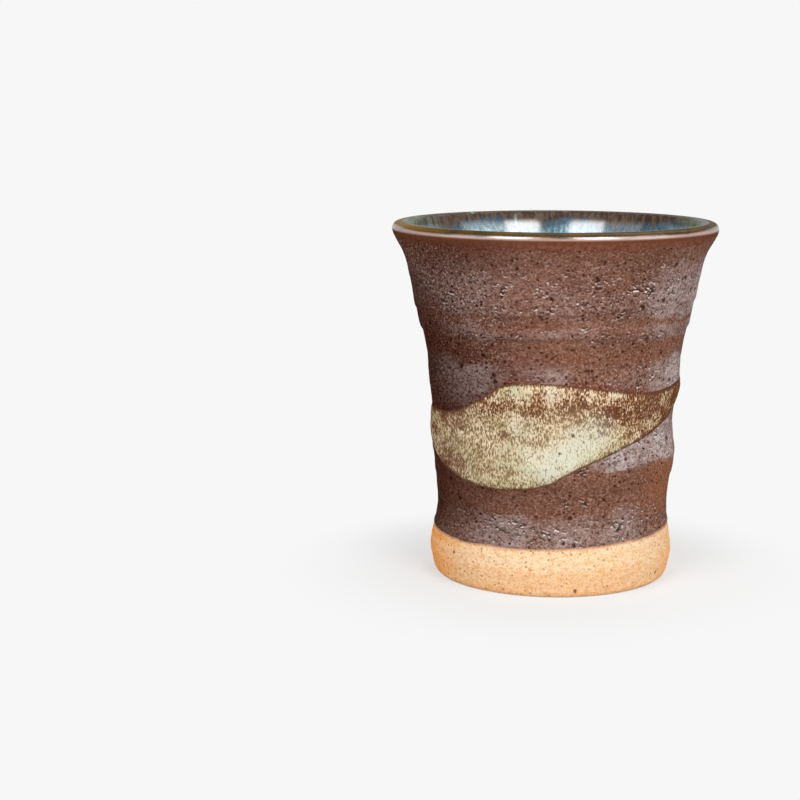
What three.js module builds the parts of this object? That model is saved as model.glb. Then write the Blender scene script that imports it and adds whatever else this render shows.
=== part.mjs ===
// Japanese tea cup: a wheel-thrown stoneware body under five fired glaze coats.
// Millimetres, +Z up. The origin is the centre of the plane that the foot stands on.
// The front, with the fullest part of the poured ash glaze, faces -Y.
import * as THREE from "three";

const CUP_HEIGHT = 90; // standing plane to the glazed crest of the lip

// Outside of the clay wall from the standing plane up, each rise counted from the place named before it.
const BASE_RADIUS = 29; // edge of the standing ring
const BELLY_RISE = 6.5; // standing plane to the fullest place of the bare foot
const BELLY_RADIUS = 30.9;
const WAIST_RISE = 12.5; // foot belly to the narrow waist above it
const WAIST_RADIUS = 28.85;
const RIDGE_RISE = 13.5; // waist to the throwing ridge that a finger left
const RIDGE_RADIUS = 30.4;
const HOLLOW_RISE = 7.5; // ridge to the shallow hollow above it
const HOLLOW_RADIUS = 30.05;
const SHOULDER_RISE = 12.5; // hollow to the second, softer ridge
const SHOULDER_RADIUS = 31.4;

// Outside of the clay wall from the lip down, each drop counted from the place named before it.
const CREST_DROP = 1.5; // rounded clay crest to the widest place of the lip
const LIP_RADIUS = 40.4;
const FLARE_DROP = 3.9; // widest place to the middle of the turned-out lip
const FLARE_RADIUS = 38.45;
const THROAT_DROP = 6; // turned-out lip to where it begins
const THROAT_RADIUS = 36.35;
const NECK_RADIUS = 33.65; // midway between throat and shoulder

// Inside and underside of the clay.
const WALL = 4; // clay thickness, measured level
const FLOOR_THICKNESS = 5.5; // clay between the foot recess and the inner floor
const FLOOR_FILLET = 9; // radius that turns the inner floor into the wall
const STANDING_RING_WIDTH = 5.5;
const RECESS_DEPTH = 2.2; // hollow trimmed inside the standing ring
const RECESS_LEAN = 1.2; // how far the recess wall leans inward

// Fired coats.
const SEAT_GAP = 0.1; // bond line between a coat and the clay
const ASH_SEAT_GAP = 0.15; // bond line between the ash glaze and the brown coat
const BROWN_THICKNESS = 0.45;
const LIP_COAT_THICKNESS = 0.45;
const RIM_THICKNESS = 0.5;
const LINER_THICKNESS = 0.5;
const ASH_THICKNESS = 0.6; // at the middle of the sweep
const ASH_EDGE_THICKNESS = 0.15; // where the sweep runs out thin
const GLAZE_LINE_RISE = 12.6; // standing plane to the lower edge of the brown coat
const LIP_COAT_DROP = 2; // widest place of the lip down to the lower edge of the glossy lip band
const RIM_COAT_DROP = 6; // widest place of the lip down to the lower edge of the rim band, inside

// Edges of the ash sweep, tip to tip. Each point is [degrees from the front towards +X, share of the reach
// above or below the hollow].
const ASH_REACH = 13.7; // hollow to the sweep's highest place, and to its lowest
const ASH_UPPER_EDGE = [
  [-113, 0.15],
  [-80, 0.22],
  [-50, 0.35],
  [-27, 0.8],
  [-5, 1],
  [42, 0.76],
  [80, 0.8],
  [118, 0.84],
];
const ASH_LOWER_EDGE = [
  [-113, 0.07],
  [-80, -0.44],
  [-58, -0.8],
  [-27, -1],
  [-4, -0.88],
  [11, -0.58],
  [48, -0.09],
  [80, 0.33],
  [118, 0.76],
];

// Fineness of the facets.
const TURN_SEGMENTS = 40;
const OUTSIDE_STEP = 3.6;
const INSIDE_STEP = 7;
const ROUND_STEPS = 6; // facets in the lip's crest and in the floor's fillet
const ASH_COLUMNS = 48;
const ASH_ROWS = 8;

const belly = BELLY_RISE;
const waist = belly + WAIST_RISE;
const ridge = waist + RIDGE_RISE;
const hollow = ridge + HOLLOW_RISE;
const shoulder = hollow + SHOULDER_RISE;
const lip = CUP_HEIGHT - RIM_THICKNESS - SEAT_GAP - CREST_DROP;
const flare = lip - FLARE_DROP;
const throat = flare - THROAT_DROP;
const neck = (shoulder + throat) / 2;
const floor = RECESS_DEPTH + FLOOR_THICKNESS;

// A smooth curve through [place, value] pairs, level at its end where levelEnd says so.
function smoothCurve(pairs, levelEnd = false) {
  const places = pairs.map((pair) => pair[0]);
  const values = pairs.map((pair) => pair[1]);
  const curve = new THREE.CubicInterpolant(places, values, 1);
  const endingEnd = levelEnd ? THREE.ZeroSlopeEnding : THREE.ZeroCurvatureEnding;
  curve.settings = { endingStart: THREE.ZeroCurvatureEnding, endingEnd };
  return (place) => curve.evaluate(place)[0];
}

const wallRadius = smoothCurve(
  [
    [0, BASE_RADIUS],
    [belly, BELLY_RADIUS],
    [waist, WAIST_RADIUS],
    [ridge, RIDGE_RADIUS],
    [hollow, HOLLOW_RADIUS],
    [shoulder, SHOULDER_RADIUS],
    [neck, NECK_RADIUS],
    [throat, THROAT_RADIUS],
    [flare, FLARE_RADIUS],
    [lip, LIP_RADIUS],
  ],
  true,
);

// Numbers from start to end, evenly spaced at no more than step.
function spaced(start, end, step) {
  const count = Math.max(1, Math.ceil(Math.abs(end - start) / step));
  return Array.from({ length: count + 1 }, (_, i) => start + ((end - start) * i) / count);
}

const outside = (height) => new THREE.Vector2(wallRadius(height), height);
const inside = (height) => new THREE.Vector2(wallRadius(height) - WALL, height);
const onFloor = (radius) => new THREE.Vector2(radius, floor);

// Points of an elliptic arc, from angle start to angle end in degrees.
function arc(centre, acrossRadius, upRadius, start, end) {
  return spaced(start, end, Math.abs(end - start) / ROUND_STEPS).map((degrees) => {
    const angle = THREE.MathUtils.degToRad(degrees);
    return new THREE.Vector2(
      centre.x + acrossRadius * Math.cos(angle),
      centre.y + upRadius * Math.sin(angle),
    );
  });
}

// The clay's section as stretches that follow each other, from the foot's edge to the inner floor's middle.
const glazeLine = GLAZE_LINE_RISE;
const lipCoatEdge = lip - LIP_COAT_DROP;
const rimCoatEdge = lip - RIM_COAT_DROP;
const filletTop = floor + FLOOR_FILLET;
const filletCentre = new THREE.Vector2(wallRadius(filletTop) - WALL - FLOOR_FILLET, filletTop);
const crestCentre = new THREE.Vector2(LIP_RADIUS - WALL / 2, lip);
const stretches = {
  foot: spaced(0, glazeLine, OUTSIDE_STEP).map(outside),
  wall: spaced(glazeLine, lipCoatEdge, OUTSIDE_STEP).map(outside),
  lip: [
    ...spaced(lipCoatEdge, lip, OUTSIDE_STEP).map(outside),
    ...arc(crestCentre, WALL / 2, CREST_DROP, 0, 90).slice(1),
  ],
  rim: [
    ...arc(crestCentre, WALL / 2, CREST_DROP, 90, 180),
    ...spaced(lip, rimCoatEdge, INSIDE_STEP / 2).map(inside).slice(1),
  ],
  liner: [
    ...spaced(rimCoatEdge, filletTop, INSIDE_STEP).map(inside),
    ...arc(filletCentre, FLOOR_FILLET, FLOOR_FILLET, 0, -90).slice(1),
    ...spaced(filletCentre.x, 0, INSIDE_STEP).slice(1).map(onFloor),
  ],
};

// One section line with the outward normal at each of its points, and each stretch's first and last index.
const section = [];
const reach = {};
for (const [name, points] of Object.entries(stretches)) {
  const first = Math.max(0, section.length - 1);
  section.push(...(section.length ? points.slice(1) : points));
  reach[name] = [first, section.length - 1];
}
const normals = section.map((point, i) => {
  const before = section[Math.max(0, i - 1)];
  const after = section[Math.min(section.length - 1, i + 1)];
  const along = after.clone().sub(before).normalize();
  return new THREE.Vector2(along.y, -along.x);
});
normals[normals.length - 1].set(0, 1);

// The section line between two indices, moved out along its normals.
function offsetLine([first, last], distance) {
  return section
    .slice(first, last + 1)
    .map((point, i) => point.clone().addScaledVector(normals[first + i], distance));
}

function turned(profile) {
  return new THREE.LatheGeometry(profile, TURN_SEGMENTS).rotateX(Math.PI / 2);
}

// A coat of even thickness over one stretch of the section.
function coat(stretch, thickness) {
  const under = offsetLine(reach[stretch], SEAT_GAP).reverse();
  const over = offsetLine(reach[stretch], SEAT_GAP + thickness);
  const endsOnAxis = over[over.length - 1].x === 0;
  return turned(endsOnAxis ? [...under, ...over] : [...over, ...under, over[0].clone()]);
}

// The stoneware body: foot recess, standing ring, wall, lip and inner floor.
function clayBody() {
  const ringInside = BASE_RADIUS - STANDING_RING_WIDTH;
  const underside = [
    new THREE.Vector2(0, RECESS_DEPTH),
    new THREE.Vector2(ringInside - RECESS_LEAN, RECESS_DEPTH),
    new THREE.Vector2(ringInside, 0),
  ];
  return turned([...underside, ...section]);
}

// A point on the outside of the wall, at a depth above the clay, for an angle in degrees from the front.
function onWall(degrees, height, depth) {
  const nudge = OUTSIDE_STEP / 10;
  const slope = (wallRadius(height + nudge) - wallRadius(height - nudge)) / (2 * nudge);
  const level = 1 / Math.hypot(1, slope);
  const radius = wallRadius(height) + depth * level;
  const angle = THREE.MathUtils.degToRad(degrees);
  return new THREE.Vector3(
    radius * Math.sin(angle),
    -radius * Math.cos(angle),
    height - depth * slope * level,
  );
}

// The poured ash glaze: a slab bent round the brown coat between its two edges, thick in the middle.
function ashSweep() {
  const upper = smoothCurve(ASH_UPPER_EDGE);
  const lower = smoothCurve(ASH_LOWER_EDGE);
  const startAngle = ASH_UPPER_EDGE[0][0];
  const endAngle = ASH_UPPER_EDGE[ASH_UPPER_EDGE.length - 1][0];
  const geometry = new THREE.BoxGeometry(1, 1, 1, ASH_COLUMNS, ASH_ROWS, 1);
  const place = geometry.getAttribute("position");
  const seat = SEAT_GAP + BROWN_THICKNESS + ASH_SEAT_GAP;
  for (let i = 0; i < place.count; i++) {
    const along = place.getX(i) + 0.5;
    const across = place.getY(i) + 0.5;
    const degrees = THREE.MathUtils.lerp(startAngle, endAngle, along);
    const share = THREE.MathUtils.lerp(lower(degrees), upper(degrees), across);
    const height = hollow + ASH_REACH * share;
    const fullness = Math.sqrt(Math.sin(Math.PI * along)) * Math.sin(Math.PI * across);
    const swell = THREE.MathUtils.lerp(ASH_EDGE_THICKNESS, ASH_THICKNESS, fullness);
    const depth = place.getZ(i) > 0 ? seat + swell : seat;
    place.setXYZ(i, ...onWall(degrees, height, depth));
  }
  return geometry;
}

const bareClay = new THREE.MeshStandardMaterial({ color: "#d79a5c", roughness: 0.9, metalness: 0 });
const ironBrown = new THREE.MeshStandardMaterial({ color: "#5b3a32", roughness: 0.5, metalness: 0 });
const oliveAsh = new THREE.MeshStandardMaterial({ color: "#a3925f", roughness: 0.35, metalness: 0 });
const amberBrown = new THREE.MeshStandardMaterial({ color: "#6a4230", roughness: 0.15, metalness: 0 });
const blueGreen = new THREE.MeshStandardMaterial({ color: "#7f9a9c", roughness: 0.12, metalness: 0 });
const cream = new THREE.MeshStandardMaterial({ color: "#d8ccb0", roughness: 0.12, metalness: 0 });

function piece(name, geometry, material) {
  const mesh = new THREE.Mesh(geometry, material);
  mesh.name = name;
  return mesh;
}

const cup = new THREE.Group();
cup.add(
  piece("clay_body", clayBody(), bareClay),
  piece("brown_glaze", coat("wall", BROWN_THICKNESS), ironBrown),
  piece("ash_glaze", ashSweep(), oliveAsh),
  piece("lip_glaze", coat("lip", LIP_COAT_THICKNESS), amberBrown),
  piece("rim_glaze", coat("rim", RIM_THICKNESS), blueGreen),
  piece("liner_glaze", coat("liner", LINER_THICKNESS), cream),
);

export default cup;
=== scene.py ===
# %% [markdown]
# # A Japanese tea cup in six fired pieces
#
# The cup is a yunomi: a tall thrown cup without a handle. On the real one a single clay body carries five coats of
# glaze, and each coat is a piece here too, so that each has its own edge, thickness and finish. The solids of the
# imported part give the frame, in metres, with the foot's centre at the origin and the front towards -Y.

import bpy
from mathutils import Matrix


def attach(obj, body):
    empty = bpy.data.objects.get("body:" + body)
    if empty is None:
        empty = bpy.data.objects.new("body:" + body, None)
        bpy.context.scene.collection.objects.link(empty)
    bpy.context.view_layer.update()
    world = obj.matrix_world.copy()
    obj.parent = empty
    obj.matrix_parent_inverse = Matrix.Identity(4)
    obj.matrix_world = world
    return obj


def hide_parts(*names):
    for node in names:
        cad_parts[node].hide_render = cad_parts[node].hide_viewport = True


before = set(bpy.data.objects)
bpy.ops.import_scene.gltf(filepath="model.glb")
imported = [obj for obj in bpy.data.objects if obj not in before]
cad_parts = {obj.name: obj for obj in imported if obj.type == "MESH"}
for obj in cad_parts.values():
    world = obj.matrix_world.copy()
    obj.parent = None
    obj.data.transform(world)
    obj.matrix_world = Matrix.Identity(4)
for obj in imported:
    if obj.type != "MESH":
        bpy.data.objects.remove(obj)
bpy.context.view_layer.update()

# %% Tools and units
import functools
import math
import random

import bmesh
import bpy
from mathutils import Vector, kdtree, noise

MM = 0.001
TURN = 2 * math.pi
scene = bpy.context.scene

# %% [markdown]
# ## The section of the wall
#
# A thrown pot is a section turned about an axis, so its outline is worth most of the work. The wall could be drawn
# with a Bezier curve, but a list of a few heights and radii is easier to read and to correct. A smooth line goes
# through them: at each point it leaves in the direction of its two neighbours, as a potter's rib would.

# %% The outer section
OUTSIDE = [  # height, radius
    (0.0, 29.0), (0.5, 29.55), (1.5, 30.05), (4.0, 30.6), (6.5, 30.95), (9.0, 30.72), (12.5, 30.06), (16.0, 29.56),
    (19.5, 29.42), (24.0, 29.82), (28.0, 30.45), (31.0, 30.87), (33.0, 30.94), (36.0, 30.79), (40.0, 30.65),
    (43.0, 30.8), (46.0, 31.21), (49.0, 31.68), (52.0, 31.94), (56.0, 32.11), (59.0, 32.53), (62.0, 33.28),
    (66.0, 34.42), (70.0, 35.31), (75.0, 36.31), (80.0, 37.39), (83.0, 38.5), (85.5, 39.9), (87.0, 40.7),
    (88.0, 40.98),
]
LIP_WIDEST = 88.0
LIP_HALF_WIDTH = 2.5
LIP_SQUARENESS = 2.6
LIP_INNER_SLOPE = 0.4
CREST = 90.0


def smooth_line(points, place):
    """Value at a place on the smooth line through (place, value) points, held level beyond both ends."""
    if place <= points[0][0]:
        return points[0][1]
    if place >= points[-1][0]:
        return points[-1][1]
    i = next(k for k in range(len(points) - 1) if points[k + 1][0] >= place)
    (x1, y1), (x2, y2) = points[i], points[i + 1]
    x0, y0 = points[max(0, i - 1)]
    x3, y3 = points[min(len(points) - 1, i + 2)]
    leave, arrive = (y2 - y0) / (x2 - x0), (y3 - y1) / (x3 - x1)
    t, span = (place - x1) / (x2 - x1), x2 - x1
    return (
        y1 * (1 + 2 * t) * (1 - t) ** 2 + leave * span * t * (1 - t) ** 2
        + y2 * t * t * (3 - 2 * t) + arrive * span * t * t * (t - 1)
    )


def outside(height):
    return smooth_line(OUTSIDE, height)


def spaced(start, end, step):
    """Places from start to end, evenly spaced at no more than step."""
    count = max(1, math.ceil(abs(end - start) / step))
    return [start + (end - start) * i / count for i in range(count + 1)]


print("waist radius", round(min(outside(z) for z in spaced(12, 30, 1)), 2), "lip radius", outside(LIP_WIDEST))

# %% [markdown]
# ## The hand in the wall
#
# A wheel-thrown wall is never truly round. This one leans a little to one side between the ridges, and the fingers
# left two clear ledges high on the wall and a few faint ones, each with a soft roll above it and a step below it. A
# displacement texture could do this, but a plain function of angle and height moves the wall and the glazes on it
# together, so nothing parts. Angles count from the front, -Y, towards +X.

# %% Lean, ledges and lumps
LEAN = [  # height, how far the section's centre lies towards +X
    (10, 0.0), (14, 0.13), (18, 0.26), (22, 0.23), (26, 0.33), (29, 0.52), (32, 0.44), (36, 0.12), (40, 0.02),
    (44, 0.13), (48, 0.27), (54, 0.22), (60, 0.15), (66, 0.0),
]
LEDGES = [  # mean height, tilt, angle of its highest place, depth, softness
    (69.6, 1.2, 75, 0.20, 0.4),
    (63.6, 0.7, 60, 0.22, 0.4),
    (57.2, 0.5, -40, 0.06, 0.5),
    (76.5, 0.6, 140, 0.07, 0.6),
    (31.6, 0.4, 20, 0.10, 0.5),
    (26.2, 0.4, 30, 0.12, 0.6),
]
LEDGE_REACH = 2.6
BROAD_LUMPS, FINE_LUMPS = 0.10, 0.05


def bias(low, high, value):
    """0 below low, 1 above high, and a smooth step between them."""
    t = min(1.0, max(0.0, (value - low) / (high - low)))
    return t * t * (3 - 2 * t)


def lump(angle, height, density, rise, shift=(0, 0)):
    """Smooth noise on the wall: so dense round the cup, and changing over a rise in millimetres."""
    ring = Vector((math.sin(angle), math.cos(angle), 0))
    return noise.noise(ring * density + Vector((*shift, height / rise)))


def wander(angle, height):
    """How far the outer wall strays from its section at an angle and a height."""
    stray = smooth_line(LEAN, height) * math.sin(angle)
    for mean, tilt, highest, depth, soft in LEDGES:
        above = height - mean - tilt * math.cos(angle - math.radians(highest))
        stray += depth * math.tanh(above / soft) * math.exp(-abs(above) / LEDGE_REACH)
    glazed = bias(11, 15, height) * (1 - bias(84, 87, height))
    stray += BROAD_LUMPS * glazed * lump(angle, height, 2.1, 9)
    stray += FINE_LUMPS * glazed * lump(angle, height, 1.7, 1.4, (5, 2))
    return stray


def wall_point(angle, height, above=0.0):
    """A point on the outer wall, above it by so much, in metres."""
    radius = (outside(height) + wander(angle, height) + above) * MM
    return Vector((radius * math.sin(angle), -radius * math.cos(angle), height * MM))


print("wander at the ridge, right and left:", [round(wander(math.radians(a), 29), 2) for a in (90, -90)])

# %% [markdown]
# ## Turning a section
#
# Five of the six pieces start as a closed section that is spun once about the cup's axis. Blender's Screw modifier
# would do, but bmesh's spin gives the mesh at once, and the next steps can then move its points. After a full spin
# the seam and the points on the axis are merged, and the normals are made to point out again.

# %% A spun piece
PIECES = {}
MERGE_WITHIN = 0.002 * MM
SHARP = math.radians(50)
CLAY_STEPS, BROWN_STEPS, RIM_STEPS, LINER_STEPS, SHEET_STEPS = 240, 360, 300, 200, 64  # in a full turn


def spun(section, steps):
    """A bmesh from (radius, height) points in mm, in order round the section. The axis may close it."""
    bm = bmesh.new()
    points = [bm.verts.new((radius * MM, 0, height * MM)) for radius, height in section]
    edges = [bm.edges.new(pair) for pair in zip(points, points[1:])]
    if section[0][0] > 0:
        edges.append(bm.edges.new((points[-1], points[0])))
    bmesh.ops.spin(
        bm, geom=points + edges, axis=(0, 0, 1), cent=(0, 0, 0), angle=TURN, steps=steps, use_merge=True,
    )
    bmesh.ops.remove_doubles(bm, verts=bm.verts, dist=MERGE_WITHIN)
    bmesh.ops.recalc_face_normals(bm, faces=bm.faces)
    return bm


def polar(vert):
    """A point's angle from the front, and its radius and height in millimetres."""
    return math.atan2(vert.co.x, -vert.co.y), math.hypot(vert.co.x, vert.co.y) / MM, vert.co.z / MM


def in_scene(name, bm):
    """The object of a finished bmesh, shaded smooth, with a hard shade only at sharp edges."""
    for face in bm.faces:
        face.smooth = True
    for edge in bm.edges:
        edge.smooth = edge.calc_face_angle(0.0) < SHARP
    mesh = bpy.data.meshes.new(name)
    bm.to_mesh(mesh)
    thing = bpy.data.objects.new(name, mesh)
    scene.collection.objects.link(thing)
    return thing


def keep(name, bm):
    """Makes a piece of the cup and prints what it is."""
    PIECES[name] = in_scene(name, bm)
    open_edges = sum(1 for edge in bm.edges if len(edge.link_faces) != 2)
    print(name, "faces", len(bm.faces), "open edges", open_edges, "volume cm3", round(bm.calc_volume() * 1e6, 2))
    bm.free()


# %% [markdown]
# ## The clay body
#
# The clay shows only below the glaze: a bare foot with a soft belly, a narrow standing ring and a shallow hollow
# trimmed inside it. The rest of the body is still made whole, because the coats have to lie on something. Under the
# brown glaze the clay stands back by the coat's thickness, and at the glaze line it comes out flush.

# %% The clay's section
GLAZE_LINE = 12.9
BROWN_COAT = 0.5
INSIDE_COAT = 0.5
CLEARANCE = 0.02  # how far short of the clay the back of a coat stops
INSIDE = [  # height, radius of the glazed inside
    (17.0, 24.3), (22.0, 24.6), (30.0, 25.4), (40.0, 25.7), (50.0, 26.4), (60.0, 27.7), (66.0, 29.2), (72.0, 30.7),
    (78.0, 32.3), (82.0, 33.7), (85.0, 34.85), (87.0, 35.65), (88.0, 35.98),
]
FLOOR = 8.3
FILLET = 8.7
RECESS = [(0.0, 2.4), (19.5, 2.3), (21.6, 2.0), (22.6, 1.0), (23.1, 0.25), (23.5, 0.0)]  # radius, height
FOOT_RING = [(26.0, 0.0), (28.4, 0.0)]
FOOT_EDGE = (0.12, 0.3, 0.6, 1.0)


def lip_arc(start, end, inset, steps):
    """Points of the lip's rounding from angle start to end in degrees, moved in by an inset."""
    middle = outside(LIP_WIDEST) - LIP_HALF_WIDTH
    rise = CREST - LIP_WIDEST
    points = []
    for degrees in spaced(start, end, abs(end - start) / steps):
        across, up = math.cos(math.radians(degrees)), math.sin(math.radians(degrees))
        across = math.copysign(abs(across) ** (2 / LIP_SQUARENESS), across)
        up = max(0.0, up) ** (2 / LIP_SQUARENESS)
        flare = LIP_INNER_SLOPE * rise * up * (1 - up) ** 2 if degrees > 90 else 0.0
        points.append((middle + (LIP_HALF_WIDTH - inset) * across + flare, LIP_WIDEST + (rise - inset) * up))
    return points


def inner_line(inset, step):
    """The inside from just under the lip to the middle of the floor, moved into the clay by an inset."""
    wall = [(smooth_line(INSIDE, z) + inset, z) for z in spaced(LIP_WIDEST, INSIDE[0][0], step)]
    centre = INSIDE[0][1] - FILLET
    turns = [math.radians(d) for d in spaced(0, -90, 5)]
    round_off = [
        (centre + (FILLET + inset) * math.cos(t), INSIDE[0][0] + (FILLET + inset) * math.sin(t)) for t in turns
    ]
    flat = [(radius, FLOOR - inset) for radius in spaced(centre, 0, 1.5)]
    return wall + round_off[1:] + flat[1:]


clay_section = RECESS + FOOT_RING + [(outside(z), z) for z in FOOT_EDGE]
clay_section += [(outside(z), z) for z in spaced(1.5, 16, 0.4)]
clay_section += [(outside(z) - BROWN_COAT, z) for z in spaced(16.5, LIP_WIDEST, 2)]
clay_section += lip_arc(0, 180, BROWN_COAT, 12)[1:] + inner_line(INSIDE_COAT, 4)[1:]
print("clay section points", len(clay_section))

# %% [markdown]
# The glaze line is not level. The cup was held by its foot and dipped, so the line sits lower at the left and rises
# towards the right. The same function places the clay's step and the brown coat's lower edge. Each point of the clay
# keeps how close it lies under that edge, for the flash of colour there.

# %% The clay's shape
DIP_SIDE = math.radians(38)  # the glaze line passes its mean height here
BROAD_WAVE, FINE_WAVE = 0.35, 0.18
TRIM_RINGS, TRIM_LUMPS = 0.05, 0.04
UNDERSIDE, UNDER_LIP = 0.05, 84  # only the wall between these heights is moved


def glaze_line(angle):
    """Height of the brown coat's lower edge."""
    tilt = math.sin(angle - DIP_SIDE)
    return GLAZE_LINE + tilt + BROAD_WAVE * lump(angle, 0, 3.1, 1) + FINE_WAVE * lump(angle, 0, 11, 1)


def trim_lines(angle, height):
    """Shallow turning marks that the trimming tool left in the bare foot."""
    return TRIM_RINGS * lump(angle, height, 0.6, 0.9, (3, 1)) + TRIM_LUMPS * lump(angle, height, 4, 3)


clay = spun(clay_section, CLAY_STEPS)
flash_layer = clay.verts.layers.float.new("flash")
for vert in clay.verts:
    angle, radius, height = polar(vert)
    if radius < outside(height) - 1 or not UNDERSIDE <= height <= UNDER_LIP:
        continue  # the inside, the lip and the underside stay as they were spun
    edge = glaze_line(angle)
    under = bias(edge + 0.1, edge + 0.9, height)
    bare = 1 - bias(edge - 0.5, edge + 0.5, height)
    vert[flash_layer] = bias(edge - 0.7, edge + 0.1, height)
    marks = bare * bias(0.5, 2, height) * trim_lines(angle, height)
    vert.co = wall_point(angle, height, marks - BROWN_COAT * under)
keep("clay_body_foot", clay)

# %% [markdown]
# ## Where the ash glaze lies
#
# The ash glaze was poured over the brown one and ran into a leaf-shaped sweep that points at both ends. Its two edges
# are needed first, because the brown coat turned red in a thin line along the upper one.

# %% Edges of the sweep
SWEEP_UPPER = [  # degrees from the front, height
    (-113, 42.2), (-97, 42.9), (-80, 43.2), (-59, 43.8), (-50, 44.7), (-43, 46.0), (-36, 48.0), (-31, 49.6),
    (-27, 51.0), (-23, 52.2), (-18, 53.0), (-9, 53.5), (3, 53.3), (12, 52.8), (21, 52.0), (31, 51.2), (42, 50.4),
    (52, 50.1), (61, 50.3), (80, 51.0), (100, 51.6), (118, 52.0),
]
SWEEP_LOWER = [
    (-113, 41.4), (-97, 37.6), (-80, 33.8), (-72, 31.8), (-65, 30.1), (-58, 29.0), (-51, 28.1), (-44, 27.3),
    (-35, 26.6), (-27, 26.3), (-19, 26.5), (-12, 26.9), (-5, 27.6), (2, 29.0), (6, 30.4), (11, 32.0), (18, 33.5),
    (22, 34.3), (30, 35.9), (38, 37.3), (48, 38.8), (56, 40.1), (65, 41.6), (74, 43.2), (80, 44.4), (100, 48.4),
    (118, 51.2),
]
FIRST, LAST = SWEEP_UPPER[0][0], SWEEP_UPPER[-1][0]


def uneven(points, degrees, seed):
    """An edge of the sweep with the small unevenness of a pour."""
    wave = 0.22 * noise.noise(Vector((degrees / 7, seed, 0))) + 0.10 * noise.noise(Vector((degrees / 2.2, seed, 4)))
    return smooth_line(points, degrees) + wave


def sweep_top(degrees):
    return uneven(SWEEP_UPPER, degrees, 9)


def sweep_bottom(degrees):
    return uneven(SWEEP_LOWER, degrees, 1)


print("the sweep goes from", FIRST, "to", LAST, "degrees")

# %% [markdown]
# ## The brown glaze
#
# This coat is thick and a little rough: the clay's grit broke through it, so it is full of small open pits. The
# section is spun in fine rows, its lower edge is pulled to the glaze line and swells there in a small bead. The pits
# that are big enough to see as holes are pressed into the mesh, and each point remembers how deep it lies, so that the
# finish can paint shade into it. Smaller pits come later, from the finish, with painted shade too.

# %% The brown coat's section and edge
LIP_BAND_EDGE = 86.0
ROW = 0.46
BEAD, EDGE_DROP = 0.16, 0.25
brown_section = [(outside(z), z) for z in spaced(GLAZE_LINE, LIP_BAND_EDGE, ROW)]
brown_section += [(outside(z) - BROWN_COAT + CLEARANCE, z) for z in spaced(LIP_BAND_EDGE, GLAZE_LINE, 6)]
brown = spun(brown_section, BROWN_STEPS)
pit_layer = brown.verts.layers.float.new("pit")
halo_layer = brown.verts.layers.float.new("halo")
brown_face = []
for vert in brown.verts:
    angle, radius, height = polar(vert)
    outer = radius > outside(height) - 0.2
    height += (glaze_line(angle) - GLAZE_LINE) * (1 - bias(GLAZE_LINE, 30, height))
    from_edge = height - glaze_line(angle)
    swell = BEAD * math.exp(-((from_edge - 0.5) / 0.7) ** 2) - EDGE_DROP * (1 - bias(0, 0.45, from_edge))
    vert.co = wall_point(angle, height, swell if outer else -BROWN_COAT + CLEARANCE)
    degrees = math.degrees(angle)
    if FIRST < degrees < LAST:
        above_sweep = height - sweep_top(degrees)
        vert[halo_layer] = bias(-1.0, 0.0, above_sweep) * (1 - bias(0.4, 1.7, above_sweep))
    if outer and 1.0 < from_edge and height < 85:
        brown_face.append(vert)
print("points on the brown coat's face", len(brown_face))

# %% Pits in the brown coat
PITS = 620
PIT_HEIGHTS = (14, 83, 60)  # lowest, highest, most common
PIT_SIZES = (0.3, 0.75, 0.4)  # smallest, largest, most common
PIT_DEPTHS = (0.1, 0.3)
PIT_ACROSS, PIT_UP = 0.8, 1.2  # below 1 stretches a pit that way, above 1 presses it together
dice = random.Random(11)
tree = kdtree.KDTree(len(brown_face))
for i, vert in enumerate(brown_face):
    tree.insert(vert.co, i)
tree.balance()
for _ in range(PITS):
    angle, height = dice.uniform(-math.pi, math.pi), dice.triangular(*PIT_HEIGHTS)
    size, depth = dice.triangular(*PIT_SIZES) * MM, dice.uniform(*PIT_DEPTHS) * MM
    centre = wall_point(angle, height)
    outward = Vector((centre.x, centre.y, 0)).normalized()
    for _, i, _ in tree.find_range(centre, 1.6 * size):
        vert = brown_face[i]
        apart = vert.co - centre
        sideways = (apart - outward * apart.dot(outward)).xy.length
        reach = math.hypot(sideways * PIT_ACROSS, apart.z * PIT_UP) / size
        dent = math.exp(-(reach * 1.25) ** 4)
        vert.co -= outward * depth * dent
        vert[pit_layer] = max(vert[pit_layer], dent)
keep("brown_glaze_coat", brown)

# %% [markdown]
# ## Lip, rim and inside
#
# Three glossy coats run over each other at the rim: the amber-brown band on the outside of the lip, the blue band
# over the crest, and the cream liner. Each is a closed strip of the same section, so they meet edge to edge. Their
# inner faces stop just short of the clay.

# %% Lip and rim
RIM_BAND_EDGE = 82.0
ARC_STEPS = 18
lip_back = BROWN_COAT - CLEARANCE
lip_outer = [(outside(z), z) for z in spaced(LIP_BAND_EDGE, LIP_WIDEST, 0.25)]
lip_inner = [(outside(z) - lip_back, z) for z in spaced(LIP_BAND_EDGE, LIP_WIDEST, 0.5)]
lip_outer += lip_arc(0, 90, 0, ARC_STEPS)[1:]
lip_inner += lip_arc(0, 90, lip_back, ARC_STEPS)[1:]
keep("lip_glaze_band", spun(lip_outer + lip_inner[::-1], RIM_STEPS))

inside_face = inner_line(0, 1.0)
inside_back = inner_line(INSIDE_COAT - CLEARANCE, 1.0)
border = next(i for i, point in enumerate(inside_face) if point[1] <= RIM_BAND_EDGE)
rim_outer = lip_arc(90, 180, 0, ARC_STEPS) + inside_face[1:border + 1]
rim_inner = lip_arc(90, 180, lip_back, ARC_STEPS) + inside_back[1:border + 1]
keep("rim_glaze_band", spun(rim_outer + rim_inner[::-1], RIM_STEPS))

# %% [markdown]
# The liner ends in a floor that is nearly flat. The thrower's finger left a faint ring where the floor turns up, and
# the glaze has drawn thin over it. That ring and a slow spiral are pressed into the coat's upper face.

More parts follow.
